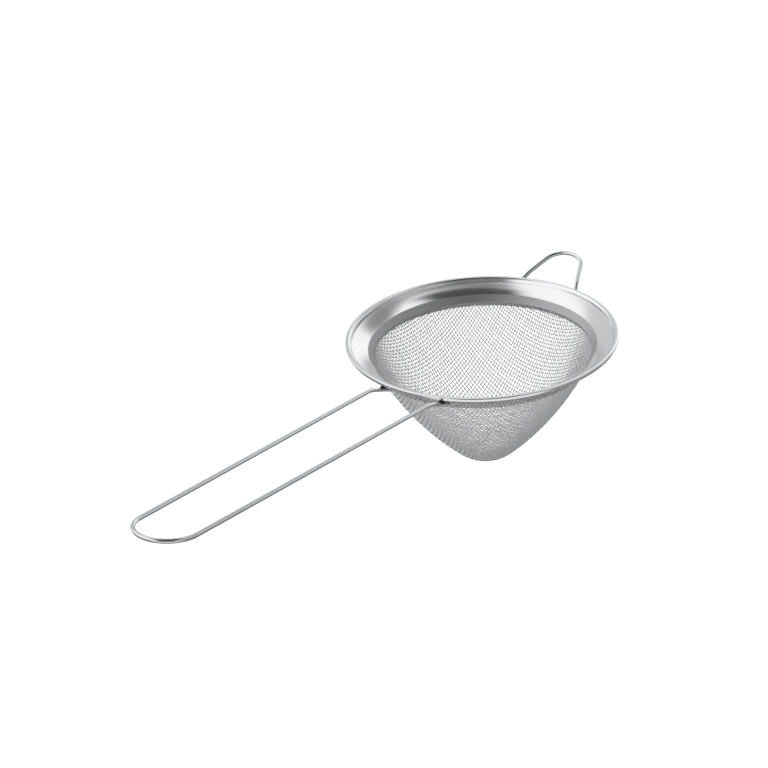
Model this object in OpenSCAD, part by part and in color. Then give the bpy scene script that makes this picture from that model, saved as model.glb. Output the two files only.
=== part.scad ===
// Small conical strainer: a pressed steel collar, a deep-drawn wire cloth cone whose
// edge is folded over a clamp hoop, a hairpin wire handle and a rest ear, all welded.
// Millimetres. +Z is up along the cone's axis, and the handle points along -X.
// The origin is on the axis, half-way up the hem band that stands in a ring or a glass.

/* [Rim collar] */
// Inside diameter of the throat's skirt
throat_d = 67.4; // [58:0.2:90]
// Width of the collar in plan, from the skirt's inside to the outside of the rolled lip
collar_w = 8.8; // [7.8:0.2:16]
// Diameter of the rolled lip's bead
bead_d = 1.3; // [1:0.1:2]
// Thickness of the pressed sheet
sheet_t = 0.4; // [0.3:0.05:0.6]
// Slope of the flange above the horizontal, in degrees
flange_slope = 24.5; // [18:0.5:32]
// Radius of the bend from flange to skirt, on its polished side
throat_bend_r = 2.2; // [1.8:0.1:3]
// Height of the skirt's straight part below the bend
skirt_h = 0.15; // [0.1:0.05:0.6]
// How much thinner the sheet is drawn in the throat's bend
sheet_thinning = 0.04; // [0.03:0.01:0.06]

/* [Wire cloth] */
// Diameter of the cloth's wire, half the cloth's thickness
cloth_wire_d = 0.2; // [0.15:0.01:0.25]
// Gap between the skirt's outside and the cloth
cloth_seat_gap = 0.1; // [0.05:0.01:0.15]
// Depth of the cone, from the skirt's lower edge to the outside of its tip
cone_depth = 37.7; // [30:0.5:60]
// Outside radius of the rounded tip
tip_r = 14.6; // [8:0.2:18]
// How much thinner the cloth is drawn at the tip
tip_thinning = 0.04; // [0.03:0.01:0.06]
// Radius of the slight outward bow of the cone's wall
wall_bow_r = 110; // [80:5:400]
// Openings across the plain grid that stands in for the weave
grid_across = 12; // [6:1:12]
// Width of the bars between the grid's openings
grid_bar = 1.1; // [0.8:0.1:2]
// Width, in plan, of the plain edge between the grid and the hem
grid_edge = 0.8; // [0.6:0.1:3]

/* [Hem and clamp hoop] */
// Height of the folded hem
hem_h = 2.2; // [1.6:0.1:4]
// Thickness of the clamp hoop's strip
hoop_t = 0.35; // [0.25:0.05:0.6]
// Running gap on each face of the clamp hoop
hoop_gap = 0.02; // [0.01:0.01:0.04]

/* [Wire] */
// Diameter of the handle's and the ear's wire
wire_d = 1.4; // [1.2:0.1:2]
// Gap between the rolled lip and the wires welded under it
weld_gap = 0.04; // [0.02:0.01:0.08]
// Length of the wire tails under the flange, from the weld inwards
tail_l = 4; // [2:0.5:5]
// How much thinner the wire is in its bends, which also lets its stretches join cleanly
bend_thinning = 0.04; // [0.03:0.01:0.08]
// How far a weld nugget swells past the bead's radius
nugget_swell = 0.1; // [0.05:0.01:0.12]
// Length of a weld nugget along the wire
nugget_l = 2.4; // [2:0.1:2.8]

/* [Handle] */
// Distance between the handle's two welds
handle_weld_w = 20.9; // [16:0.5:30]
// Length of the handle, from its welds to the outside of its end
handle_l = 128; // [90:1:180]
// Radius of the handle's round end, to the wire's centre
handle_end_r = 9.1; // [7:0.1:12]
// Rise of the handle above the horizontal, in degrees
handle_pitch = 8; // [0:0.5:14]
// How much flatter the wire leaves the lip than the flange slopes, in degrees
handle_tail_ease = 4.5; // [3.5:0.1:5]
// Length of wire from the weld to the handle's bend
handle_out_l = 7; // [4:0.5:12]
// Radius of the handle's bend
handle_bend_r = 9; // [5:0.5:12]

/* [Rest ear] */
// Distance between the ear's two welds
ear_weld_w = 19.4; // [16:0.2:24]
// Length of the ear, from its welds to the outside of its end
ear_l = 17.8; // [16:0.2:24]
// Radius of the ear's round end, to the wire's centre
ear_end_r = 6.5; // [5:0.1:7]
// Rise of the ear above the horizontal, in degrees
ear_pitch = 15; // [8:0.5:22]
// How much steeper the wire leaves the lip than the flange slopes, in degrees
ear_tail_kick = 5.5; // [0:0.5:8]
// Length of wire from the weld to the ear's bend
ear_out_l = 3.8; // [2:0.2:4.6]
// Radius of the ear's bend
ear_bend_r = 6; // [4:0.5:8]

/* [Hidden] */
$fn = 96;

STEEL_POLISHED = [0.84, 0.85, 0.86];
STEEL_CLOTH = [0.70, 0.71, 0.72];
STEEL_DARK = [0.48, 0.49, 0.50];
STEEL_WIRE = [0.76, 0.77, 0.78];
WELD_TINT = [0.30, 0.29, 0.28];

// Cloth and clamp hoop, from the skirt outwards
cloth_t = 2 * cloth_wire_d;
skirt_out_r = throat_d / 2 + sheet_t;
cloth_in_r = skirt_out_r + cloth_seat_gap;
cloth_out_r = cloth_in_r + cloth_t;
hoop_in_r = cloth_out_r + hoop_gap;
hoop_out_r = hoop_in_r + hoop_t;
hem_in_r = hoop_out_r + hoop_gap;
hem_out_r = hem_in_r + cloth_t;
hem_top = hem_h / 2;
hem_bottom = -hem_h / 2;

// The throat's bend clears the fold of the hem, which sets its height
fold_gap = 0.03;
bend_c_r = throat_d / 2 + throat_bend_r;
bend_under_r = throat_bend_r - sheet_t;
bend_c_z = hem_top + fold_gap - sqrt(pow(bend_under_r, 2) - pow(bend_c_r - cloth_in_r, 2));
skirt_bottom = bend_c_z - skirt_h;

// Flange, on the middle of its sheet, from the bend to the lip's bead
sheet_lap = 0.1;
bend_mid_r = throat_bend_r - sheet_t / 2;
flange_in_r = bend_c_r - bend_mid_r * sin(flange_slope);
flange_in_z = bend_c_z + bend_mid_r * cos(flange_slope);
bead_path_r = throat_d / 2 + collar_w - bead_d / 2;
flange_run = bead_path_r - flange_in_r;
lip_z = flange_in_z + flange_run * tan(flange_slope);

// Cone: a bowed wall that runs tangent into a round tip, both on the cloth's outside
wall_top = bend_c_z;
tip_c_z = skirt_bottom - cone_depth + tip_r;
top_dir = atan2(wall_top - tip_c_z, cloth_out_r);
top_dist = norm([cloth_out_r, wall_top - tip_c_z]);
bow_c_dist = wall_bow_r - tip_r;
bow_c_turn = acos((pow(bow_c_dist, 2) + pow(top_dist, 2) - pow(wall_bow_r, 2))
    / (2 * bow_c_dist * top_dist));
bow_c_dir = top_dir + bow_c_turn;
bow_c = [bow_c_dist * cos(bow_c_dir), tip_c_z + bow_c_dist * sin(bow_c_dir)];
wall_low_dir = bow_c_dir - 180;
tip_lap = 0.3;
tip_end_dir = wall_low_dir + atan(tip_lap / tip_r);
wall_top_dir = atan2(wall_top - bow_c[1], cloth_out_r - bow_c[0]);

// Grid of openings in the wall, turned as the weave is
weave_turn = -10.5;
grid_r = cloth_in_r - grid_edge;
grid_pitch = 2 * grid_r / grid_across;
grid_open = grid_pitch - grid_bar;
grid_least = 1.5 * grid_bar;

// Wires: slopes of their tails and the half spacing of their welds
handle_tail_slope = flange_slope - handle_tail_ease;
ear_tail_slope = flange_slope + ear_tail_kick;
bend_d = wire_d - bend_thinning;
stretch_lap = 0.2;
nugget_r = bead_d / 2 + nugget_swell;
handle_weld_y = handle_weld_w / 2;
ear_weld_y = ear_weld_w / 2;
handle_reach = handle_l - handle_end_r - wire_d / 2;
ear_reach = ear_l - ear_end_r - wire_d / 2;

// Point at a distance and a direction in a plane
function polar(radius, direction) = [radius * cos(direction), radius * sin(direction)];

// Plan angle by which a loop's leg closes in towards its round end
function loop_close(weld_y, reach, end_r) =
    atan2(weld_y, reach) - asin(end_r / norm([reach, weld_y]));

// Length from a weld to the start of the round end
function loop_leg(weld_y, reach, end_r) =
    sqrt(pow(norm([reach, weld_y]), 2) - pow(end_r, 2));

// Where a leg's bend starts, along the loop's plane and below it
function bend_run(turn, out_l, bend_r) = bend_r * sin(turn) + out_l * cos(turn);
function bend_drop(turn, out_l, bend_r) = bend_r * (1 - cos(turn)) + out_l * sin(turn);

// Distance from the axis, and height, at which a wire passes under the bead
function seat_x(weld_y) = sqrt(pow(bead_path_r, 2) - pow(weld_y, 2));
function seat_z(slope) = lip_z - (bead_d / 2 + wire_d / 2 + weld_gap) / cos(slope);

// Part of a ring's section between two directions
module ring_sector(outer_r, thickness, from_dir, to_dir) {
    intersection() {
        difference() {
            circle(r = outer_r, $fn = 180);
            circle(r = outer_r - thickness, $fn = 180);
        }
        polygon([
            [0, 0],
            polar(2 * outer_r, from_dir),
            polar(2 * outer_r, (from_dir + to_dir) / 2),
            polar(2 * outer_r, to_dir)
        ]);
    }
}

// Section of the collar: bead, flange, bend and skirt
module collar_section() {
    translate([bead_path_r, lip_z])
        circle(d = bead_d);
    translate([flange_in_r, flange_in_z])
        rotate(flange_slope)
        translate([-sheet_lap, -sheet_t / 2])
        square([flange_run / cos(flange_slope) + sheet_lap, sheet_t]);
    translate([bend_c_r, bend_c_z])
        ring_sector(throat_bend_r - sheet_thinning / 2, sheet_t - sheet_thinning,
            90 + flange_slope, 180);
    translate([throat_d / 2, skirt_bottom])
        square([sheet_t, skirt_h + sheet_lap]);
}

// Section of the cloth: tip, wall, inner layer, fold and hem
module cloth_section() {
    translate([0, tip_c_z])
        ring_sector(tip_r - tip_thinning / 2, cloth_t - tip_thinning, -90, tip_end_dir);
    translate(bow_c)
        ring_sector(wall_bow_r, cloth_t, wall_low_dir, wall_top_dir);
    translate([cloth_in_r, wall_top - cloth_t / 2])
        square([cloth_t, hem_top - wall_top + cloth_t / 2]);
    translate([cloth_in_r, hem_top - cloth_t])
        square([hem_out_r - cloth_in_r, cloth_t]);
    translate([hem_in_r, hem_bottom])
        square([cloth_t, hem_h]);
}

// How near an opening comes to the axis, in plan, from its numbers across and along
function open_side(k) = max(abs((k + 0.5) * grid_pitch) - grid_open / 2, 0);
function open_near(i, j) = norm([open_side(i), open_side(j)]);

// Upright square openings of the grid, cut off round by its edge
module cloth_openings() {
    last = ceil(grid_across / 2);
    translate([0, 0, skirt_bottom - cone_depth - cloth_t])
        intersection() {
            cylinder(r = grid_r, h = cone_depth);
            rotate([0, 0, weave_turn])
                for (i = [-last:last - 1], j = [-last:last - 1])
                if (open_near(i, j) < grid_r - grid_least)
                translate([(i + 0.5) * grid_pitch, (j + 0.5) * grid_pitch, cone_depth / 2])
                cube([grid_open, grid_open, cone_depth + cloth_t], center = true);
        }
}

// Plane of a wire loop: the origin is over the welds, +X points away from the rim
module loop_plane(weld_y, slope, pitch, out_l, bend_r) {
    translate([seat_x(weld_y), 0, seat_z(slope)])
        rotate([0, -pitch, 0])
        translate([0, 0, bend_drop(slope - pitch, out_l, bend_r)])
        children();
}

// One leg of a loop: straight run, bend and the tail under the flange
module loop_leg_wire(weld_y, reach, end_r, turn, out_l, bend_r) {
    run = bend_run(turn, out_l, bend_r);
    translate([run - stretch_lap, 0, 0])
        rotate([0, 90, 0])
        cylinder(d = wire_d, h = loop_leg(weld_y, reach, end_r) - run + 2 * stretch_lap);
    translate([run, 0, -bend_r])
        rotate([90, 0, 0])
        rotate([0, 0, 90])
        rotate_extrude(angle = turn)
        translate([bend_r, 0])
        circle(d = bend_d);
    translate([run - bend_r * sin(turn), 0, -bend_r * (1 - cos(turn))])
        rotate([0, -90 - turn, 0])
        translate([0, 0, -stretch_lap])
        cylinder(d = wire_d, h = out_l + tail_l + stretch_lap);
}

// A loop of wire that points along +X: two legs and a round end
module wire_loop(weld_y, reach, end_r, slope, pitch, out_l, bend_r) {
    closing = loop_close(weld_y, reach, end_r);
    loop_plane(weld_y, slope, pitch, out_l, bend_r) {
        for (side = [0, 1])
            mirror([0, side, 0])
            translate([0, weld_y, 0])
            rotate([0, 0, -closing])
            loop_leg_wire(weld_y, reach, end_r, slope - pitch, out_l, bend_r);
        translate([reach, 0, 0])
            rotate([0, 0, closing - 90])
            rotate_extrude(angle = 180 - 2 * closing)
            translate([end_r, 0])
            circle(d = bend_d);
    }
}

// Weld metal between a loop's wire and the bead, on one side of the loop
module nugget(weld_y, reach, end_r, slope, pitch, out_l, bend_r, side) {
    turn = slope - pitch;
    loop_plane(weld_y, slope, pitch, out_l, bend_r)
        mirror([0, side, 0])
        translate([0, weld_y, 0])
        rotate([0, 0, -loop_close(weld_y, reach, end_r)])
        translate([0, 0, -bend_drop(turn, out_l, bend_r)])
        rotate([0, -turn, 0])
        translate([0, 0, wire_d / 2]) {
            rotate([0, 90, 0])
                cylinder(r = nugget_r, h = nugget_l - 2 * nugget_r, center = true);
            for (end = [-1, 1])
                translate([end * (nugget_l / 2 - nugget_r), 0, 0])
                sphere(r = nugget_r);
        }
}

module handle_loop() {
    rotate([0, 0, 180])
        wire_loop(handle_weld_y, handle_reach, handle_end_r, handle_tail_slope,
            handle_pitch, handle_out_l, handle_bend_r);
}

module ear_loop() {
    wire_loop(ear_weld_y, ear_reach, ear_end_r, ear_tail_slope,
        ear_pitch, ear_out_l, ear_bend_r);
}

module handle_weld(side) {
    color(WELD_TINT)
        difference() {
            rotate([0, 0, 180])
                nugget(handle_weld_y, handle_reach, handle_end_r, handle_tail_slope,
                    handle_pitch, handle_out_l, handle_bend_r, side);
            handle_loop();
            rotate_extrude()
                collar_section();
        }
}

module ear_weld(side) {
    color(WELD_TINT)
        difference() {
            nugget(ear_weld_y, ear_reach, ear_end_r, ear_tail_slope,
                ear_pitch, ear_out_l, ear_bend_r, side);
            ear_loop();
            rotate_extrude()
                collar_section();
        }
}

// Pressed and polished collar with its rolled lip
module rim_collar() {
    color(STEEL_POLISHED)
        rotate_extrude()
        collar_section();
}

// Wire cloth, drawn here as a shell of the cloth's thickness with a plain grid of openings
module mesh_cone() {
    color(STEEL_CLOTH)
        difference() {
            rotate_extrude()
                cloth_section();
            cloth_openings();
        }
}

// Flat steel hoop inside the fold of the hem
module clamp_hoop() {
    color(STEEL_DARK)
        translate([0, 0, hem_bottom])
        difference() {
            cylinder(r = hoop_out_r, h = hem_h - cloth_t - hoop_gap);
            translate([0, 0, -1])
                cylinder(r = hoop_in_r, h = hem_h + 2);
        }
}

module handle_wire() {
    color(STEEL_WIRE)
        handle_loop();
}

module rest_ear() {
    color(STEEL_WIRE)
        ear_loop();
}

rim_collar();
mesh_cone();
clamp_hoop();
handle_wire();
rest_ear();
handle_weld(0);  // handle_weld_left
handle_weld(1);  // handle_weld_right
ear_weld(1);  // ear_weld_left
ear_weld(0);  // ear_weld_right
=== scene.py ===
"""Small conical strainer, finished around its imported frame.

Metres, +Z up along the cone's axis, and the handle points along -X. The collar is spun
from the section of its sheet, the cone is woven wire by wire, and the handle and the
rest ear are bent from round wire.
"""

import math

import bpy
import numpy as np
from bpy.props import FloatProperty, FloatVectorProperty, PointerProperty
from mathutils import Matrix, Vector


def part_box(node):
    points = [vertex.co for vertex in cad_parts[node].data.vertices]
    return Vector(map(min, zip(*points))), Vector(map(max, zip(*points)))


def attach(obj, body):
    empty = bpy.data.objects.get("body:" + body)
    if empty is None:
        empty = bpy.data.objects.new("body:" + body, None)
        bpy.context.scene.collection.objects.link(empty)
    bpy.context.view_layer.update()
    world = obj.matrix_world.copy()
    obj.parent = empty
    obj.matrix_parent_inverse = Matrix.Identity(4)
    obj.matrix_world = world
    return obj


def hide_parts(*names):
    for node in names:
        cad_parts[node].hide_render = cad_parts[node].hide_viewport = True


bl_info = {
    "name": "Conical strainer",
    "version": (1, 0, 0),
    "blender": (4, 5, 0),
    "location": "View3D > Sidebar > Strainer",
    "description": "Models a small wire-cloth strainer piece by piece around its frame",
    "category": "Add Mesh",
}

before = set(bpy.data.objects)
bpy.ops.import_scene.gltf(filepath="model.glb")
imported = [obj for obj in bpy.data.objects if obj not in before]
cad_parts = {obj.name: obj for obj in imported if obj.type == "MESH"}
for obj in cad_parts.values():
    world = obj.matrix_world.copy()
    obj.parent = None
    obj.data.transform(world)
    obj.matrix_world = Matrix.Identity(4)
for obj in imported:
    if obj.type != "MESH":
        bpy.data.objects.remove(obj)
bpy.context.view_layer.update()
COLLAR_LOW, COLLAR_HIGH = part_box("rim_collar")
CLOTH_LOW, CLOTH_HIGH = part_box("mesh_cone")
HOOP_LOW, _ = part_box("clamp_hoop")

MM = 0.001
UP = Vector((0, 0, 1))

# Bends of the collar's sheet, from its throat outwards, as radii of the sheet's middle
SKIRT_BEND_R = 0.5 * MM
BAND_BEND_R = 0.35 * MM
LIP_ROOT_R = 0.3 * MM
LIP_TOP_R = 1.9 * MM
LIP_SHOULDER_R = 0.12 * MM
LIP_CURL_R = 0.22 * MM

# Points closer than this are one point
MERGE_GAP = 0.0001 * MM

# Steps of a whole turn, sides of a wire, and steps of a wire's bend and of its round end
LATHE_STEPS = 192
WIRE_SIDES = 24
BEND_STEPS = 8
END_STEPS = 48

# Where the photograph was taken from, as worked out from the strainer's outline
CAMERA_AZIMUTH = math.radians(214.48)
CAMERA_ELEVATION = math.radians(27.80)
CAMERA_ROLL = math.radians(-3.75)


def linear(code):
    """A colour written as sRGB hex, turned to the linear values that shaders take."""
    shares = [int(code[i:i + 2], 16) / 255 for i in (1, 3, 5)]
    return [c / 12.92 if c <= 0.04045 else ((c + 0.055) / 1.055) ** 2.4 for c in shares]


def length(name, default_mm, description):
    """A size property with its default given in millimetres."""
    return FloatProperty(
        name=name, description=description, default=default_mm * MM, unit="LENGTH", precision=5)


def angle(name, default_deg, description):
    """An angle property with its default given in degrees."""
    return FloatProperty(
        name=name, description=description, default=math.radians(default_deg), unit="ROTATION")


def colour(name, code, description):
    """A colour property with its default given as sRGB hex."""
    return FloatVectorProperty(
        name=name, description=description, default=linear(code), subtype="COLOR", size=3,
        min=0, max=1)


class CollarSizes(bpy.types.PropertyGroup):
    """Sizes of the pressed collar's sheet, its lip and its throat"""

    throat_d: length("Throat diameter", 67.4, "Inside diameter of the throat's skirt")
    sheet_t: length("Sheet thickness", 0.4, "Thickness of the pressed sheet")
    bead_d: length("Lip height", 1.3, "Height of the rolled lip above the wires' seats")
    throat_slope: angle("Throat slope", 46, "Slope of the plain band at the throat")
    throat_l: length("Throat band", 2.25, "Length of the plain band, up its slope")
    flange_low: angle("Flange slope inside", 29, "Slope of the flange at the throat")
    flange_high: angle("Flange slope outside", 17, "Slope of the flange at the lip")
    lip_wall: angle("Lip's inner side", 75, "Slope of the rolled lip's inner side")
    lip_crown_r: length("Lip crown", 0.75, "Radius of the rolled lip's crown, inside")
    lip_face_l: length("Lip face", 0.5, "Height of the rolled lip's outer face")


class ClothSizes(bpy.types.PropertyGroup):
    """Sizes of the wire cloth and of the hoop inside its hem"""

    wire_d: length("Cloth wire", 0.28, "Diameter of the cloth's wire")
    pitch: length("Mesh pitch", 1.0, "Distance between the cloth's wires before drawing")
    tip_r: length("Tip radius", 14.6, "Outside radius of the rounded tip")
    wall_bow_r: length("Wall bow", 110, "Radius of the slight outward bow of the wall")
    seat_gap: length("Seat gap", 0.1, "Gap between the skirt's outside and the cloth")
    weave_turn: angle("Weave turn", -10.5, "Turn of the weave from the handle's direction")
    draw_in: FloatProperty(
        name="Draw-in", default=0.1, min=0, max=0.3,
        description="Share by which drawing opens the mesh at the tip more than at the hem")
    hoop_t: length("Hoop thickness", 0.2, "Thickness of the clamp hoop's strip")


class WireSizes(bpy.types.PropertyGroup):
    """Sizes of the two bent wires and their welds"""

    wire_d: length("Wire", 1.4, "Diameter of the handle's and the ear's wire")
    weld_gap: length("Weld gap", 0.45, "Gap that weld metal fills between lip and wire")
    tail_l: length("Tail", 4, "Length of the tails under the flange, from the welds inwards")
    nugget_l: length("Nugget", 2.8, "Length of a weld nugget along the wire")
    nugget_out: length("Nugget place", 0.55, "Distance of a nugget's middle outside its seat")
    handle_weld_w: length("Handle welds", 20.6, "Distance between the handle's two welds")
    handle_length: length("Handle length", 127.3, "Length of the handle beyond its welds")
    handle_end_r: length("Handle end", 9.1, "Radius of the handle's round end")
    handle_pitch: angle("Handle rise", 8, "Rise of the handle above the horizontal")
    handle_slope: angle("Handle tail", 25, "Slope of the handle's tails")
    handle_out_l: length("Handle run", 5.28, "Length of wire from the weld to the bend")
    handle_bend_r: length("Handle bend", 14, "Radius of the handle's bend")
    ear_weld_w: length("Ear welds", 21.2, "Distance between the ear's two welds")
    ear_length: length("Ear length", 18.2, "Length of the ear beyond its welds")
    ear_end_r: length("Ear end", 6.8, "Radius of the ear's round end")
    ear_pitch: angle("Ear rise", 17.6, "Rise of the ear above the horizontal")
    ear_slope: angle("Ear tail", 30, "Slope of the ear's tails")
    ear_out_l: length("Ear run", 4.8, "Length of wire from the weld to the bend")
    ear_bend_r: length("Ear bend", 9, "Radius of the ear's bend")


class StrainerColours(bpy.types.PropertyGroup):
    """Base colours of the metals and of the studio floor"""

    collar: colour("Collar", "#EDEEEF", "Buffed stainless sheet")
    cloth: colour("Cloth", "#F2F3F4", "Drawn stainless cloth wire")
    hoop: colour("Hoop", "#C4C6C8", "Mill-finish stainless strip")
    wire: colour("Wire", "#DEE0E2", "Bright drawn stainless wire")
    # The weld's near-black colour is heat tint together with painted shade under the lip
    weld: colour("Weld", "#2A2725", "Heat-darkened weld metal")
    floor: colour("Floor", "#F4F4F3", "Matt white studio floor")


def sizes():
    """The scene's size groups: collar, cloth and wires."""
    scene = bpy.context.scene
    return scene.strainer_collar, scene.strainer_cloth, scene.strainer_wires


def polar(radius, direction):
    """Point at a distance and a direction, in radians, in a plane."""
    return Vector((radius * math.cos(direction), radius * math.sin(direction)))


def arc(centre, radius, start, end, steps):
    """Points of an arc in the plane of a section, both ends included."""
    return [
        Vector(centre) + polar(radius, start + (end - start) * k / steps)
        for k in range(steps + 1)]


# Materials

def add_node(tree, kind, settings=None, inputs=None):
    """Adds a shader node, with its settings and with values or links for its inputs."""
    node = tree.nodes.new(kind)
    for key, value in (settings or {}).items():
        setattr(node, key, value)
    for key, value in (inputs or {}).items():
        if isinstance(value, bpy.types.NodeSocket):
            tree.links.new(value, node.inputs[key])
        else:
            node.inputs[key].default_value = value
    return node


def new_material(name):
    """A material with its tree emptied, its output node and its object coordinates."""
    material = bpy.data.materials.new(name)
    material.use_nodes = True
    tree = material.node_tree
    tree.nodes.clear()
    output = add_node(tree, "ShaderNodeOutputMaterial")
    place = add_node(tree, "ShaderNodeTexCoord").outputs["Object"]
    return material, tree, output, place


def finish_material(tree, output, base, metallic, roughness, normal=None):
    """Ends a material in one principled shader."""
    inputs = {"Base Color": base, "Metallic": metallic, "Roughness": roughness}
    if normal is not None:
        inputs["Normal"] = normal
    shader = add_node(tree, "ShaderNodeBsdfPrincipled", inputs=inputs)
    tree.links.new(shader.outputs["BSDF"], output.inputs["Surface"])


def shaded(base, share):
    """A base colour with a share of its brightness, as a shader's opaque colour."""
    return *(c * share for c in base), 1


def buffed_stainless(base, band_r):
    """Stainless sheet, pressed and buffed: a mirror with soft edges, broken by faint rings
    that the buffing wheel leaves round the axis, 0.35 mm apart here so that they can show,
    and by smears of about 9 mm. The throat's band, which ends at the given radius, is
    rougher, as the wheel doesn't reach it, and its colour is darkened to an even grey as
    painted shade."""
    ring_pitch, ring_depth = 0.35 * MM, 0.004 * MM
    smear_l = 9 * MM
    buffed_unshaded_r = band_r + 0.2 * MM
    material, tree, output, place = new_material("buffed_stainless_sheet")
    axes = add_node(tree, "ShaderNodeSeparateXYZ", inputs={"Vector": place})
    flat = add_node(tree, "ShaderNodeCombineXYZ", inputs={
        "X": axes.outputs["X"], "Y": axes.outputs["Y"]})
    radius = add_node(tree, "ShaderNodeVectorMath", {"operation": "LENGTH"}, {
        "Vector": flat.outputs["Vector"]})
    rings = add_node(tree, "ShaderNodeTexNoise", {"noise_dimensions": "1D"}, {
        "W": radius.outputs["Value"], "Scale": 1 / ring_pitch, "Detail": 2.0})
    smears = add_node(tree, "ShaderNodeTexNoise", inputs={
        "Vector": place, "Scale": 1 / smear_l, "Detail": 3.0})
    rough = add_node(tree, "ShaderNodeMapRange", inputs={
        "Value": smears.outputs["Fac"], "To Min": 0.10, "To Max": 0.22})
    bump = add_node(tree, "ShaderNodeBump", inputs={
        "Height": rings.outputs["Fac"], "Strength": 0.25, "Distance": ring_depth})
    # Share of the sheet past the throat's band: it sets the buffed roughness, and it lifts the
    # band's painted shade
    buffed_unshaded = add_node(tree, "ShaderNodeMapRange", {"interpolation_type": "SMOOTHSTEP"}, {
        "Value": radius.outputs["Value"], "From Min": band_r, "From Max": buffed_unshaded_r})
    # Painted shade: the throat's band keeps only about half of the base colour, an even grey
    dull_shaded_band = add_node(tree, "ShaderNodeMix", {"data_type": "RGBA"}, {
        "Factor": smears.outputs["Fac"], "A": shaded(base, 0.54), "B": shaded(base, 0.58)})
    bright = add_node(tree, "ShaderNodeMix", {"data_type": "RGBA"}, {
        "Factor": smears.outputs["Fac"], "A": shaded(base, 0.94), "B": shaded(base, 1)})
    metal = add_node(tree, "ShaderNodeMix", {"data_type": "RGBA"}, {
        "Factor": buffed_unshaded.outputs["Result"],
        "A": dull_shaded_band.outputs["Result"], "B": bright.outputs["Result"]})
    polish = add_node(tree, "ShaderNodeMix", {"data_type": "FLOAT"}, {
        "Factor": buffed_unshaded.outputs["Result"], "A": 0.5, "B": rough.outputs["Result"]})
    finish_material(
        tree, output, metal.outputs["Result"], 1.0, polish.outputs["Result"],
        bump.outputs["Normal"])
    return material


def drawn_cloth_wire(base):
    """Fine stainless wire, drawn and annealed for weaving: satin, with a grain of 0.6 mm
    that darkens it a little here and there."""
    grain_w = 0.6 * MM
    material, tree, output, place = new_material("annealed_cloth_wire")
    grain = add_node(tree, "ShaderNodeTexNoise", inputs={
        "Vector": place, "Scale": 1 / grain_w, "Detail": 2.0})
    rough = add_node(tree, "ShaderNodeMapRange", inputs={
        "Value": grain.outputs["Fac"], "To Min": 0.36, "To Max": 0.5})
    metal = add_node(tree, "ShaderNodeMix", {"data_type": "RGBA"}, {
        "Factor": grain.outputs["Fac"], "A": shaded(base, 0.88), "B": shaded(base, 1)})
    finish_material(tree, output, metal.outputs["Result"], 1.0, rough.outputs["Result"])
    return material


def mill_strip(base):
    """Stainless strip with its mill finish: dull, with rolling lines round the hoop,
    0.2 mm apart and 4 mm long."""
    line_w, line_l = 0.2 * MM, 4 * MM
    material, tree, output, place = new_material("mill_finish_strip")
    lines = add_node(tree, "ShaderNodeMapping", {"vector_type": "POINT"}, {
        "Vector": place, "Scale": (1 / line_l, 1 / line_l, 1 / line_w)})
    grain = add_node(tree, "ShaderNodeTexNoise", inputs={
        "Vector": lines.outputs["Vector"], "Scale": 1.0, "Detail": 2.0})
    rough = add_node(tree, "ShaderNodeMapRange", inputs={
        "Value": grain.outputs["Fac"], "To Min": 0.32, "To Max": 0.5})
    metal = add_node(tree, "ShaderNodeMix", {"data_type": "RGBA"}, {
        "Factor": grain.outputs["Fac"], "A": shaded(base, 0.8), "B": shaded(base, 1)})
    finish_material(tree, output, metal.outputs["Result"], 1.0, rough.outputs["Result"])
    return material


def bright_wire(base):
    """Bright drawn stainless wire: a soft mirror, with faint lines from the drawing die
    that run along the legs, 0.12 mm apart and 12 mm long."""
    line_w, line_l, line_depth = 0.12 * MM, 12 * MM, 0.01 * MM
    material, tree, output, place = new_material("bright_drawn_wire")
    lines = add_node(tree, "ShaderNodeMapping", {"vector_type": "POINT"}, {
        "Vector": place, "Scale": (1 / line_l, 1 / line_w, 1 / line_w)})
    grain = add_node(tree, "ShaderNodeTexNoise", inputs={
        "Vector": lines.outputs["Vector"], "Scale": 1.0, "Detail": 2.0})
    rough = add_node(tree, "ShaderNodeMapRange", inputs={
        "Value": grain.outputs["Fac"], "To Min": 0.08, "To Max": 0.2})
    bump = add_node(tree, "ShaderNodeBump", inputs={
        "Height": grain.outputs["Fac"], "Strength": 0.3, "Distance": line_depth})
    metal = add_node(tree, "ShaderNodeMix", {"data_type": "RGBA"}, {
        "Factor": grain.outputs["Fac"], "A": shaded(base, 0.88), "B": shaded(base, 1)})
    finish_material(
        tree, output, metal.outputs["Result"], 1.0, rough.outputs["Result"],
        bump.outputs["Normal"])
    return material


def burnt_and_shaded_weld(base):
    """Spot weld metal: a rough, nearly black scale in flecks of 0.5 mm, brown where it is
    thin. Its dark colour is heat tint together with painted shade from the hollow under the lip."""
    fleck_w, fleck_depth = 0.5 * MM, 0.05 * MM
    material, tree, output, place = new_material("heat_tinted_weld")
    flecks = add_node(tree, "ShaderNodeTexNoise", inputs={
        "Vector": place, "Scale": 1 / fleck_w, "Detail": 4.0})
    bump = add_node(tree, "ShaderNodeBump", inputs={
        "Height": flecks.outputs["Fac"], "Strength": 0.6, "Distance": fleck_depth})
    # Heat tint and painted shade: flecks between a third of the near-black colour and all of it
    tint = add_node(tree, "ShaderNodeMix", {"data_type": "RGBA"}, {
        "Factor": flecks.outputs["Fac"], "A": shaded(base, 0.35), "B": shaded(base, 1)})
    finish_material(tree, output, tint.outputs["Result"], 0.6, 0.5, bump.outputs["Normal"])
    return material


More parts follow.
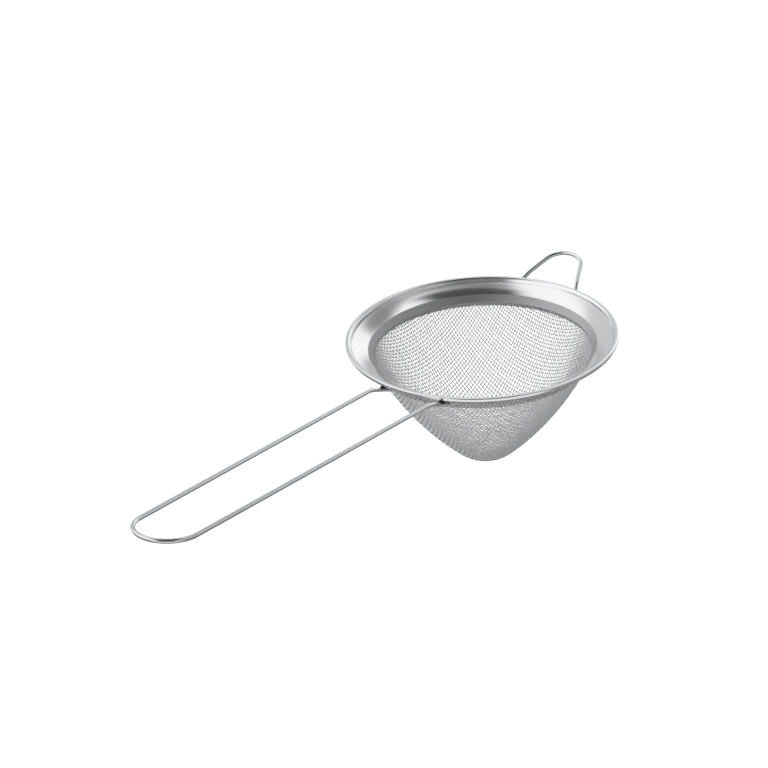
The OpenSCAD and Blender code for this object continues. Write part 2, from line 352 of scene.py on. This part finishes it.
def matt_floor(base):
    """Matt white board with a faint mottle of 40 mm, so that it stays pale and even."""
    mottle_w = 40 * MM
    material, tree, output, place = new_material("matt_white_board")
    mottle = add_node(tree, "ShaderNodeTexNoise", inputs={
        "Vector": place, "Scale": 1 / mottle_w, "Detail": 2.0})
    tint = add_node(tree, "ShaderNodeMix", {"data_type": "RGBA"}, {
        "Factor": mottle.outputs["Fac"], "A": shaded(base, 0.99), "B": shaded(base, 1)})
    finish_material(tree, output, tint.outputs["Result"], 0.0, 0.85)
    return material


# Modelling steps

def clear_selection():
    """Leaves nothing selected, in object mode."""
    if bpy.context.object and bpy.context.object.mode != "OBJECT":
        bpy.ops.object.mode_set(mode="OBJECT")
    bpy.ops.object.select_all(action="DESELECT")


def named_piece(name):
    """Names the newest object and its mesh."""
    piece = bpy.context.object
    piece.name = name
    piece.data.name = name
    return piece


def start_editing(name):
    """Names the new primitive and opens it for editing with all of it selected."""
    piece = named_piece(name)
    bpy.ops.object.mode_set(mode="EDIT")
    bpy.ops.mesh.select_all(action="SELECT")
    return piece


def extrude(step):
    """Extrudes the selection by a vector."""
    bpy.ops.mesh.extrude_region_move(TRANSFORM_OT_translate={"value": step})


def settle(piece):
    """Ends editing and puts the piece's place into its mesh."""
    bpy.ops.object.mode_set(mode="OBJECT")
    bpy.ops.object.transform_apply(location=True, rotation=True, scale=True)
    return piece


def smooth(piece, sharp_deg=40):
    """Shades a piece smooth, except over its sharp edges."""
    clear_selection()
    piece.select_set(True)
    bpy.context.view_layer.objects.active = piece
    bpy.ops.object.shade_smooth_by_angle(angle=math.radians(sharp_deg))


def lathe(name, outline):
    """Draws a closed section point by point and spins it once round the axis. Its first
    point is a small plane, merged to its centre."""
    clear_selection()
    points = [Vector((p[0], 0, p[1])) for p in outline]
    bpy.ops.mesh.primitive_plane_add(size=MM, location=points[0])
    piece = start_editing(name)
    bpy.ops.mesh.merge(type="CENTER")
    for here, there in zip(points, points[1:] + points[:1]):
        extrude(there - here)
    bpy.ops.mesh.select_all(action="SELECT")
    bpy.ops.mesh.remove_doubles(threshold=MERGE_GAP)
    bpy.ops.mesh.spin(
        steps=LATHE_STEPS, angle=math.tau, center=(0, 0, 0), axis=UP, use_auto_merge=True)
    bpy.ops.mesh.select_all(action="SELECT")
    bpy.ops.mesh.remove_doubles(threshold=MERGE_GAP)
    bpy.ops.mesh.normals_make_consistent(inside=False)
    return settle(piece)


def dress(piece, material, slot, *nodes):
    """Gives a piece its material and its body, and hides the nodes that it stands for. The slot
    is not used.
    """
    piece.data.materials.clear()
    piece.data.materials.append(material)
    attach(piece, "root")
    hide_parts(*nodes)


# Rim collar

def lip_centre():
    """Centre of the rolled lip in the plane of the section."""
    collar, _, _ = sizes()
    half = collar.bead_d / 2
    return Vector((COLLAR_HIGH.x - half, COLLAR_HIGH.z - half))


class SheetSection:
    """Follows the middle of a sheet through its bends and keeps both of its faces."""

    def __init__(self, start, heading, thickness):
        self.at, self.heading, self.half = Vector(start), heading, thickness / 2
        self.left, self.right = [], []

    def mark(self):
        """Notes the sheet's two faces here."""
        side = polar(self.half, self.heading + math.pi / 2)
        self.left.append(self.at + side)
        self.right.append(self.at - side)

    def go(self, run):
        """Goes straight on."""
        self.at = self.at + polar(run, self.heading)

    def turn(self, heading, radius, steps=6):
        """Bends to a new heading, with a radius for the sheet's middle."""
        way = 1 if heading > self.heading else -1
        least_r = 0.02 * MM
        inner = max(radius - self.half, least_r)
        centre = self.at + polar(radius, self.heading + way * math.pi / 2)
        for k in range(steps + 1):
            now = self.heading + (heading - self.heading) * k / steps
            out = now - way * math.pi / 2
            faces = (centre + polar(inner, out), centre + polar(radius + self.half, out))
            self.left.append(faces[0] if way > 0 else faces[1])
            self.right.append(faces[1] if way > 0 else faces[0])
        self.at = centre + polar(radius, heading - way * math.pi / 2)
        self.heading = heading

    def outline(self):
        """The closed outline of the section."""
        return self.left + self.right[::-1]


def band_end_r():
    """Radius at which the throat's band meets the flange, on the sheet's upper face."""
    collar, _, _ = sizes()
    bend_r = SKIRT_BEND_R + collar.sheet_t / 2
    return (
        collar.throat_d / 2 + bend_r * (1 - math.sin(collar.throat_slope))
        + collar.throat_l * math.cos(collar.throat_slope))


def collar_section(flange_r, wall_l):
    """Draws the sheet from the skirt's foot over band, flange and lip, and finds its reach.
    The flange is one long arc, and the lip's crown falls to a face and a small curl."""
    collar, _, _ = sizes()
    skirt_l = 0.06 * MM
    # Headings at which the parts of the lip end
    crown_end, top_end, shoulder_end, curl_end = (math.radians(a) for a in (8, -12, -82, -195))
    start = (collar.throat_d / 2 + collar.sheet_t / 2, COLLAR_LOW.z)
    sheet = SheetSection(start, math.pi / 2, collar.sheet_t)
    sheet.mark()
    sheet.go(skirt_l)
    sheet.turn(collar.throat_slope, SKIRT_BEND_R)
    sheet.go(collar.throat_l)
    sheet.turn(collar.flange_low, BAND_BEND_R)
    sheet.turn(collar.flange_high, flange_r, 16)
    sheet.turn(collar.lip_wall, LIP_ROOT_R)
    sheet.go(wall_l)
    sheet.turn(crown_end, collar.lip_crown_r, 8)
    sheet.turn(0, LIP_TOP_R, 2)
    top = sheet.at.y + sheet.half
    sheet.turn(top_end, LIP_TOP_R, 3)
    sheet.turn(shoulder_end, LIP_SHOULDER_R, 8)
    sheet.go(collar.lip_face_l)
    sheet.turn(-math.pi / 2, LIP_CURL_R, 2)
    reach = sheet.at.x + sheet.half
    sheet.turn(curl_end, LIP_CURL_R, 8)
    sheet.mark()
    return sheet, Vector((reach, top))


def fitted_collar():
    """The collar's outline, with the flange's bow and the lip's height that fit the frame.
    The section's reach changes evenly with both, so one step from a guess is exact."""
    target = Vector((COLLAR_HIGH.x, COLLAR_HIGH.z))
    guess = Vector((28 * MM, 0.4 * MM))
    step = 0.1 * MM
    _, reach = collar_section(*guess)
    _, bowed = collar_section(guess.x + step, guess.y)
    _, raised = collar_section(guess.x, guess.y + step)
    slopes = Matrix(((bowed - reach) / step, (raised - reach) / step)).transposed()
    sheet, _ = collar_section(*(guess + slopes.inverted() @ (target - reach)))
    return sheet.outline()


class STRAINER_OT_collar(bpy.types.Operator):
    """Spin the pressed collar with its skirt, flange and rolled lip"""

    bl_idname = "strainer.collar"
    bl_label = "Rim collar"

    def execute(self, context):
        piece = lathe("collar_sheet", fitted_collar())
        smooth(piece)
        material = buffed_stainless(context.scene.strainer_colours.collar, band_end_r())
        dress(piece, material, "collar_steel", "rim_collar")
        return {"FINISHED"}


# Woven cone

class ClothLevels:
    """Radii and heights that the cloth's middle runs through, worked out from the frame."""

    def __init__(self):
        collar, cloth, _ = sizes()
        bend_gap = 0.15 * MM
        self.half_t = cloth.wire_d
        self.inner_r = collar.throat_d / 2 + collar.sheet_t + cloth.seat_gap + self.half_t
        self.outer_r = CLOTH_HIGH.x - self.half_t
        self.fold_r = (self.outer_r - self.inner_r) / 2
        self.fold_c = Vector((
            (self.inner_r + self.outer_r) / 2, CLOTH_HIGH.z - self.half_t - self.fold_r))
        self.tip_c = Vector((0, CLOTH_LOW.z + cloth.tip_r))
        self.bend_z = COLLAR_LOW.z + bend_gap


def cloth_profile():
    """Middle of the cloth from its tip to the hem's edge, closely spaced, as an array: the
    round tip, the slightly bowed wall, the fold over the hoop and the hem."""
    _, cloth, _ = sizes()
    at = ClothLevels()
    cone_steps, fold_steps, hem_steps = 60, 16, 8
    top = Vector((at.inner_r + at.half_t, at.bend_z)) - at.tip_c
    reach = cloth.wall_bow_r - cloth.tip_r
    turn = math.acos(
        (reach ** 2 + top.length ** 2 - cloth.wall_bow_r ** 2) / (2 * reach * top.length))
    bow_dir = math.atan2(top.y, top.x) + turn
    bow_c = at.tip_c + polar(reach, bow_dir)
    wall_low = bow_dir - math.pi
    wall_top = math.atan2(at.bend_z - bow_c.y, top.x - bow_c.x)
    tip = arc(at.tip_c, cloth.tip_r - at.half_t, -math.pi / 2, wall_low, cone_steps)
    wall = arc(bow_c, cloth.wall_bow_r - at.half_t, wall_low, wall_top, cone_steps)
    fold = arc(at.fold_c, at.fold_r, math.pi, 0, fold_steps)
    drop = (HOOP_LOW.z - at.fold_c.y) / hem_steps
    hem = [Vector((at.outer_r, at.fold_c.y + drop * k)) for k in range(1, hem_steps + 1)]
    return np.array([tuple(p) for p in tip + wall[1:] + fold + hem])


class DrawnCloth:
    """Carries points of the flat cloth onto the drawn cone. Patches keep their area at
    first, and then the mesh opens towards the tip and closes towards the hem."""

    def __init__(self):
        profile = cloth_profile()
        steps = np.linalg.norm(np.diff(profile, axis=0), axis=1)
        along = np.concatenate([[0], np.cumsum(steps)])
        middle_r = (profile[1:, 0] + profile[:-1, 0]) / 2
        flat_r = np.sqrt(2 * np.concatenate([[0], np.cumsum(middle_r * steps)]))
        draw_in = bpy.context.scene.strainer_cloth.draw_in
        self.flat_r = flat_r * (1 - draw_in * (1 - (flat_r / flat_r[-1]) ** 2))
        slope = np.gradient(profile, along, axis=0)
        slope /= np.linalg.norm(slope, axis=1)[:, None]
        self.profile, self.slope = profile, slope
        self.edge_r = self.flat_r[-1]

    def place(self, flat, lift):
        """World points of flat points, each lifted off the cloth's middle, inwards."""
        radius = np.linalg.norm(flat, axis=1)
        turn = np.arctan2(flat[:, 1], flat[:, 0])
        r, z, dr, dz = (
            np.interp(radius, self.flat_r, column)
            for column in (*self.profile.T, *self.slope.T))
        r = r - dz * lift
        z = z + dr * lift
        return np.stack([r * np.cos(turn), r * np.sin(turn), z], axis=1)


def cloth_lines(drawn, family):
    """Centre lines of one family of the cloth's wires: 0 is the warp and 1 is the weft.
    Each wire goes over and under the others, and strays a little, as in real cloth."""
    _, cloth, _ = sizes()
    pitch, rise = cloth.pitch, cloth.wire_d / 2
    stray_w, stray_l, stray_turn = 0.06 * pitch, 7.3 * pitch, 1.7
    steps_a_pitch = 4
    count = int(drawn.edge_r / pitch)
    lines = []
    for i in range(-count, count):
        across = (i + 0.5) * pitch
        half = math.sqrt(max(drawn.edge_r ** 2 - across ** 2, 0))
        steps = int(half / (pitch / steps_a_pitch))
        if steps < 2:
            continue
        run = np.linspace(-half, half, 2 * steps + 1)
        side = 1 if (i + family) % 2 == 0 else -1
        lift = side * rise * np.cos(math.pi * (run / pitch - 0.5))
        stray = stray_w * np.sin(run / stray_l + stray_turn * i)
        line = np.stack([run, across + stray], axis=1)
        if family:
            line = line[:, ::-1]
        cos, sin = math.cos(cloth.weave_turn), math.sin(cloth.weave_turn)
        turned = line @ np.array([[cos, sin], [-sin, cos]])
        lines.append((across, drawn.place(turned, lift)))
    return lines


def woven_piece(name, lines, radius):
    """One mesh of round wires that follow the given lines."""
    clear_selection()
    curve = bpy.data.curves.new(name, "CURVE")
    curve.dimensions = "3D"
    curve.bevel_depth = radius
    curve.bevel_resolution = 1
    curve.use_fill_caps = True
    for line in lines:
        spline = curve.splines.new("POLY")
        spline.points.add(len(line) - 1)
        spline.points.foreach_set("co", np.c_[line, np.ones(len(line))].ravel())
        spline.use_smooth = True
    piece = bpy.data.objects.new(name, curve)
    bpy.context.collection.objects.link(piece)
    piece.select_set(True)
    bpy.context.view_layer.objects.active = piece
    bpy.ops.object.convert(target="MESH")
    return named_piece(name)


class STRAINER_OT_cloth(bpy.types.Operator):
    """Weave the cone wire by wire, with its folded hem"""

    bl_idname = "strainer.cloth"
    bl_label = "Woven cone"

    def execute(self, context):
        _, cloth, _ = sizes()
        drawn = DrawnCloth()
        material = drawn_cloth_wire(context.scene.strainer_colours.cloth)
        for family, title in enumerate(("warp", "weft")):
            lines = cloth_lines(drawn, family)
            for half, high in (("low", False), ("high", True)):
                chosen = [line for across, line in lines if (across > 0) == high]
                piece = woven_piece(f"cloth_{title}_{half}", chosen, cloth.wire_d / 2)
                dress(piece, material, "cloth_steel", "mesh_cone")
        return {"FINISHED"}


# Clamp hoop

class STRAINER_OT_hoop(bpy.types.Operator):
    """Spin the flat hoop that lies inside the fold of the hem"""

    bl_idname = "strainer.hoop"
    bl_label = "Clamp hoop"

    def execute(self, context):
        _, cloth, _ = sizes()
        at = ClothLevels()
        foot_gap, head_lap = 0.05 * MM, 0.03 * MM
        inner, outer = at.fold_c.x - cloth.hoop_t / 2, at.fold_c.x + cloth.hoop_t / 2
        low, high = HOOP_LOW.z + foot_gap, at.fold_c.y + head_lap
        round_r = cloth.hoop_t / 3
        corners = (
            ((outer - round_r, low + round_r), -math.pi / 2),
            ((outer - round_r, high - round_r), 0),
            ((inner + round_r, high - round_r), math.pi / 2),
            ((inner + round_r, low + round_r), math.pi),
        )
        outline = []
        for centre, start in corners:
            outline += arc(centre, round_r, start, start + math.pi / 2, 4)
        piece = lathe("clamp_strip", outline)
        smooth(piece)
        dress(piece, mill_strip(context.scene.strainer_colours.hoop), "hoop_steel", "clamp_hoop")
        return {"FINISHED"}


# Bent wires

class WireLoop:
    """The plane and the measures of one wire loop, which passes under the lip at its welds.

    Seen from above, its legs close a little towards the round end. Seen from the side, its
    tails slope up to the bends, and the legs go on at the loop's own pitch."""

    def __init__(self, side):
        collar, _, wires = sizes()
        self.heading = math.pi if side == "handle" else 0
        for key in ("weld_w", "length", "end_r", "pitch", "slope", "out_l", "bend_r"):
            setattr(self, key, getattr(wires, f"{side}_{key}"))
        self.wire_r = wires.wire_d / 2
        self.nugget_out = wires.nugget_out
        self.weld_y = self.weld_w / 2
        self.reach = self.length - self.end_r - self.wire_r
        self.turn = self.slope - self.pitch
        self.closing = math.atan2(self.weld_y, self.reach) - math.asin(
            self.end_r / math.hypot(self.reach, self.weld_y))
        self.leg = math.sqrt(self.reach ** 2 + self.weld_y ** 2 - self.end_r ** 2)
        self.run = self.bend_r * math.sin(self.turn) + self.out_l * math.cos(self.turn)
        self.drop = self.bend_r * (1 - math.cos(self.turn)) + self.out_l * math.sin(self.turn)
        self.tail = self.out_l + wires.tail_l
        lip = lip_centre()
        seat_x = math.sqrt(lip.x ** 2 - self.weld_y ** 2)
        below = collar.bead_d / 2 + self.wire_r + wires.weld_gap
        seat_z = lip.y - below / math.cos(self.slope)
        self.plane = (
            Matrix.Rotation(self.heading, 4, "Z")
            @ Matrix.Translation((seat_x, 0, seat_z))
            @ Matrix.Rotation(-self.pitch, 4, "Y")
            @ Matrix.Translation((0, 0, self.drop)))

    def leg_frame(self, hand):
        """Frame of the leg on one hand, 1 or -1: +X runs out along it, from over its weld."""
        return (
            self.plane
            @ Matrix.Translation((0, hand * self.weld_y, 0))
            @ Matrix.Rotation(-hand * self.closing, 4, "Z"))

    def weld_frame(self, hand):
        """Frame at a weld, on the wire's upper side, with +X along the wire."""
        return (
            self.leg_frame(hand)
            @ Matrix.Translation((0, 0, -self.drop))
            @ Matrix.Rotation(-self.turn, 4, "Y")
            @ Matrix.Translation((self.nugget_out, 0, self.wire_r)))


def spin_on(centre, axis, amount, steps):
    """Spins the selected end of a wire about an axis, which draws a bend."""
    bpy.ops.mesh.spin(
        steps=steps, angle=-amount, center=centre, axis=axis, use_auto_merge=False)


def bent_wire(name, loop):
    """Draws a loop from one cut end to the other: tail, bend, leg, round end and back."""
    near, far = loop.leg_frame(1), loop.leg_frame(-1)
    turn_in = Vector((math.cos(loop.turn), 0, math.sin(loop.turn)))
    bend_low = Vector((
        loop.run - loop.bend_r * math.sin(loop.turn), 0,
        -loop.bend_r * (1 - math.cos(loop.turn))))
    start = near @ (bend_low - turn_in * loop.tail)
    heading = (near.to_3x3() @ turn_in).normalized()
    clear_selection()
    bpy.ops.mesh.primitive_circle_add(
        vertices=WIRE_SIDES, radius=loop.wire_r, fill_type="NGON", location=start,
        rotation=heading.to_track_quat("Z", "Y").to_euler())
    piece = start_editing(name)
    bend_c = Vector((loop.run, 0, -loop.bend_r))
    straight = loop.leg - loop.run
    extrude(heading * loop.tail)
    spin_on(near @ bend_c, near.to_3x3() @ Vector((0, 1, 0)), loop.turn, BEND_STEPS)
    extrude(near.to_3x3() @ Vector((straight, 0, 0)))
    spin_on(
        loop.plane @ Vector((loop.reach, 0, 0)), loop.plane.to_3x3() @ UP,
        2 * loop.closing - math.pi, END_STEPS)
    extrude(far.to_3x3() @ Vector((-straight, 0, 0)))
    spin_on(far @ bend_c, far.to_3x3() @ Vector((0, 1, 0)), -loop.turn, BEND_STEPS)
    extrude(-(far.to_3x3() @ turn_in).normalized() * loop.tail)
    bpy.ops.mesh.select_all(action="SELECT")
    bpy.ops.mesh.remove_doubles(threshold=MERGE_GAP)
    bpy.ops.mesh.normals_make_consistent(inside=False)
    settle(piece)
    round_cut_ends(piece, loop.wire_r)
    smooth(piece)
    return piece


def round_cut_ends(piece, wire_r):
    """Breaks the sharp edges of the two cut ends, as tumbling does. They are the only
    faces with more than four corners."""
    bpy.ops.object.mode_set(mode="EDIT")
    bpy.ops.mesh.select_all(action="DESELECT")
    bpy.ops.mesh.select_mode(type="FACE")
    bpy.ops.object.mode_set(mode="OBJECT")
    side_corners = 4
    for face in piece.data.polygons:
        face.select = len(face.vertices) > side_corners
    bpy.ops.object.mode_set(mode="EDIT")
    bpy.ops.mesh.region_to_loop()
    bpy.ops.mesh.bevel(offset=wire_r / 6, segments=2, affect="EDGES")
    bpy.ops.object.mode_set(mode="OBJECT")


class STRAINER_OT_wires(bpy.types.Operator):
    """Bend the handle and the rest ear from round wire"""

    bl_idname = "strainer.wires"
    bl_label = "Handle and rest ear"

    def execute(self, context):
        material = bright_wire(context.scene.strainer_colours.wire)
        for side, title, node in (
                ("handle", "handle_hairpin", "handle_wire"), ("ear", "ear_tongue", "rest_ear")):
            piece = bent_wire(title, WireLoop(side))
            dress(piece, material, "wire_steel", node)
        return {"FINISHED"}


# Welds

class STRAINER_OT_welds(bpy.types.Operator):
    """Add the four spot welds under the lip, dark with heat tint and painted shade"""

    bl_idname = "strainer.welds"
    bl_label = "Spot welds"

    def execute(self, context):
        material = burnt_and_shaded_weld(context.scene.strainer_colours.weld)
        for side in ("handle", "ear"):
            loop = WireLoop(side)
            for hand in (1, -1):
                self.nugget(loop, side, hand, material)
        return {"FINISHED"}

    def nugget(self, loop, side, hand, material):
        """One flattened bead of weld metal, pinched between the lip and the wire. Left and
        right are as seen from the cone's axis."""
        _, _, wires = sizes()
        spot = loop.weld_frame(hand)
        left = (spot.translation.y > 0) == (side == "ear")
        name = f"{side}_weld_{'left' if left else 'right'}"
        half_w, half_h = 1.15 * loop.wire_r, 0.85 * loop.wire_r
        clear_selection()
        bpy.ops.mesh.primitive_uv_sphere_add(
            segments=24, ring_count=12, radius=1, location=spot.translation,
            rotation=spot.to_euler())
        piece = named_piece(f"{name}_metal")
        piece.scale = (wires.nugget_l / 2, half_w, half_h)
        bpy.ops.object.transform_apply(location=True, rotation=True, scale=True)
        smooth(piece, sharp_deg=60)
        dress(piece, material, "weld_steel", name)


# Studio

def camera_level():
    """Level directions from the strainer towards the camera and towards its right."""
    near = Vector((math.cos(CAMERA_AZIMUTH), math.sin(CAMERA_AZIMUTH), 0))
    return near, Vector((-near.y, near.x, 0))


class StudioSky:
    """Brightness of the studio's sky by direction, painted zone by zone. A zone's place is
    given by a direction's share of each axis, from -1 to 1. The axes are those of the
    camera, a slant between two of them, the directions of two small zones, and the one
    across a strip."""

    def __init__(self, tree):
        self.tree = tree
        near, side = camera_level()
        axes = {
            "near": near,
            "side": side,
            "up": UP,
            "slant": near + 0.25 * side,
            "seam": -0.63 * near + 0.39 * side + 0.67 * UP,
            "strip": 0.698 * near + 0.631 * side + 0.337 * UP,
            "panel": -0.89 * near - 0.20 * side + 0.40 * UP,
        }
        ray = add_node(tree, "ShaderNodeTexCoord").outputs["Generated"]
        self.share = {
            name: add_node(tree, "ShaderNodeVectorMath", {"operation": "DOT_PRODUCT"}, {
                0: ray, 1: axis}).outputs["Value"]
            for name, axis in axes.items()}

    def paint(self, level, filling, **limits):
        """Paints a zone over a level. A limit is an axis with pairs of its shares, and over
        each pair the zone sets in, softly, from none at the first to full at the second."""
        mask = 1.0
        for axis, shares in limits.items():
            for none, full in zip(shares[::2], shares[1::2]):
                edge = add_node(
                    self.tree, "ShaderNodeMapRange", {"interpolation_type": "SMOOTHSTEP"}, {
                        "Value": self.share[axis], "From Min": none, "From Max": full})
                mask = add_node(self.tree, "ShaderNodeMath", {"operation": "MULTIPLY"}, {
                    0: mask, 1: edge.outputs["Result"]}).outputs["Value"]
        return add_node(self.tree, "ShaderNodeMix", {"data_type": "FLOAT"}, {
            "Factor": mask, "A": level, "B": filling}).outputs["Result"]


class STRAINER_OT_studio(bpy.types.Operator):
    """Set the floor, the soft light and the camera"""

    bl_idname = "strainer.studio"
    bl_label = "Studio"

    def execute(self, context):
        self.floor(context.scene.strainer_colours.floor)
        self.sky()
        self.lamp()
        self.camera()
        return {"FINISHED"}

    def floor(self, base):
        """A wide matt board, well below the tip, so that no hard shadow falls in view."""
        board_w, drop = 12, 220 * MM
        clear_selection()
        bpy.ops.mesh.primitive_plane_add(size=board_w, location=(0, 0, CLOTH_LOW.z - drop))
        board = bpy.context.object
        board.name = "studio_floor"
        bpy.ops.object.transform_apply(location=True, rotation=True, scale=True)
        board.data.materials.append(matt_floor(base))
        board.visible_glossy = False

    def sky(self):
        """A white tent behind the strainer, a grey room on the camera's side and a dark
        opening overhead, with softer zones between them, for the polished steel to mirror.
        To the camera itself the sky is plain white."""
        tent, wing, seam, panel, skirting, opening = 1.4, 0.72, 0.34, 0.82, 0.60, 0.09
        room_left, room_right, strip_left, strip_right = 0.28, 0.62, 0.30, 0.80
        floor_far, floor_middle, floor_near = 1.1, 0.36, 1.2
        plain_white = 1.0
        world = bpy.data.worlds.new("studio")
        bpy.context.scene.world = world
        world.use_nodes = True
        tree = world.node_tree
        tree.nodes.clear()
        sky = StudioSky(tree)
        # The tent with its right wing, and the room, which is lighter at the right
        room = sky.paint(room_left, room_right, side=(0.30, 0.60))
        above = sky.paint(tent, wing, side=(0.50, 0.60), up=(0.15, 0.30))
        above = sky.paint(above, room, near=(-0.30, -0.12), side=(-0.60, -0.35))
        # The opening overhead, and the strip of the tent that hangs behind it
        strip = sky.paint(strip_left, strip_right, side=(0.12, 0.30))
        above = sky.paint(
            above, opening, slant=(-0.44, -0.29), near=(0.75, 0.55),
            side=(0.36, 0.28, -0.26, -0.16))
        above = sky.paint(
            above, strip, strip=(-0.12, -0.04, 0.13, 0.05),
            side=(-0.16, -0.06, 0.52, 0.44), near=(-0.30, -0.38))
        # A dark seam high in the tent, a greyer panel lower down and the skirting at its foot
        above = sky.paint(above, seam, seam=(0.968, 0.994))
        above = sky.paint(above, panel, panel=(0.90, 0.97))
        above = sky.paint(
            above, skirting, near=(-0.60, -0.80), up=(0.26, 0.10), side=(0.42, 0.28))
        # The floor as the steel sees it, darkest under the strainer
        below = sky.paint(floor_far, floor_middle, near=(-0.80, -0.40))
        below = sky.paint(below, floor_near, near=(0.55, 0.80))
        mirrored = sky.paint(above, below, up=(0.02, -0.10))
        seen = add_node(tree, "ShaderNodeLightPath").outputs["Is Camera Ray"]
        level = add_node(tree, "ShaderNodeMix", {"data_type": "FLOAT"}, {
            "Factor": seen, "A": mirrored, "B": plain_white}).outputs["Result"]
        light = add_node(tree, "ShaderNodeBackground", inputs={"Strength": level})
        output = add_node(tree, "ShaderNodeOutputWorld")
        tree.links.new(light.outputs["Background"], output.inputs["Surface"])

    def lamp(self):
        """Broad overhead light for the floor, which isn't seen in the metal."""
        data = bpy.data.lights.new("overhead_light", "SUN")
        data.angle = math.radians(120)
        data.energy = 2.6
        lamp = bpy.data.objects.new("overhead_light", data)
        bpy.context.collection.objects.link(lamp)
        lamp.visible_glossy = False

    def camera(self):
        """The camera that took the photograph, which stood a little left of and below the
        line to the lip's centre."""
        distance, shift_left, shift_down = 700.19 * MM, 30.34 * MM, 14.94 * MM
        focal_px, frame_px, sensor_mm = 2258.96, 768, 36
        near, level = camera_level()
        back = near * math.cos(CAMERA_ELEVATION) + UP * math.sin(CAMERA_ELEVATION)
        upright = back.cross(level)
        right = level * math.cos(CAMERA_ROLL) + upright * math.sin(CAMERA_ROLL)
        up = upright * math.cos(CAMERA_ROLL) - level * math.sin(CAMERA_ROLL)
        aim = Vector((0, 0, lip_centre().y))
        data = bpy.data.cameras.new("camera")
        data.sensor_width = sensor_mm
        data.lens = sensor_mm * focal_px / frame_px
        camera = bpy.data.objects.new("camera", data)
        bpy.context.collection.objects.link(camera)
        turn = Matrix((right, up, back)).transposed()
        place = aim + back * distance - right * shift_left - up * shift_down
        camera.matrix_world = Matrix.Translation(place) @ turn.to_4x4()
        bpy.context.scene.camera = camera
        bpy.context.scene.view_settings.view_transform = "Standard"


class STRAINER_PT_panel(bpy.types.Panel):
    """Lists the strainer's sizes, colours and pieces"""

    bl_label = "Strainer"
    bl_idname = "STRAINER_PT_panel"
    bl_space_type = "VIEW_3D"
    bl_region_type = "UI"
    bl_category = "Strainer"

    def draw(self, context):
        column = self.layout.column()
        for step in STEPS:
            column.operator(step.bl_idname, text=step.bl_label)
        for group in (*sizes(), context.scene.strainer_colours):
            box = self.layout.box()
            for name in group.__annotations__:
                box.prop(group, name)


STEPS = (
    STRAINER_OT_studio,
    STRAINER_OT_collar,
    STRAINER_OT_cloth,
    STRAINER_OT_hoop,
    STRAINER_OT_wires,
    STRAINER_OT_welds,
)
GROUPS = {
    "strainer_collar": CollarSizes,
    "strainer_cloth": ClothSizes,
    "strainer_wires": WireSizes,
    "strainer_colours": StrainerColours,
}


def register():
    """Registers the classes and gives every scene its size and colour groups."""
    for group in GROUPS.values():
        bpy.utils.register_class(group)
    for step in STEPS:
        bpy.utils.register_class(step)
    bpy.utils.register_class(STRAINER_PT_panel)
    for name, group in GROUPS.items():
        setattr(bpy.types.Scene, name, PointerProperty(type=group))


def unregister():
    """Takes back what register adds."""
    for name in GROUPS:
        delattr(bpy.types.Scene, name)
    bpy.utils.unregister_class(STRAINER_PT_panel)
    for step in reversed(STEPS):
        bpy.utils.unregister_class(step)
    for group in reversed(GROUPS.values()):
        bpy.utils.unregister_class(group)


def main():
    """Builds the strainer piece by piece."""
    register()
    bpy.ops.strainer.studio()
    bpy.ops.strainer.collar()
    bpy.ops.strainer.cloth()
    bpy.ops.strainer.hoop()
    bpy.ops.strainer.wires()
    bpy.ops.strainer.welds()
    clear_selection()


if __name__ == "__main__":
    main()
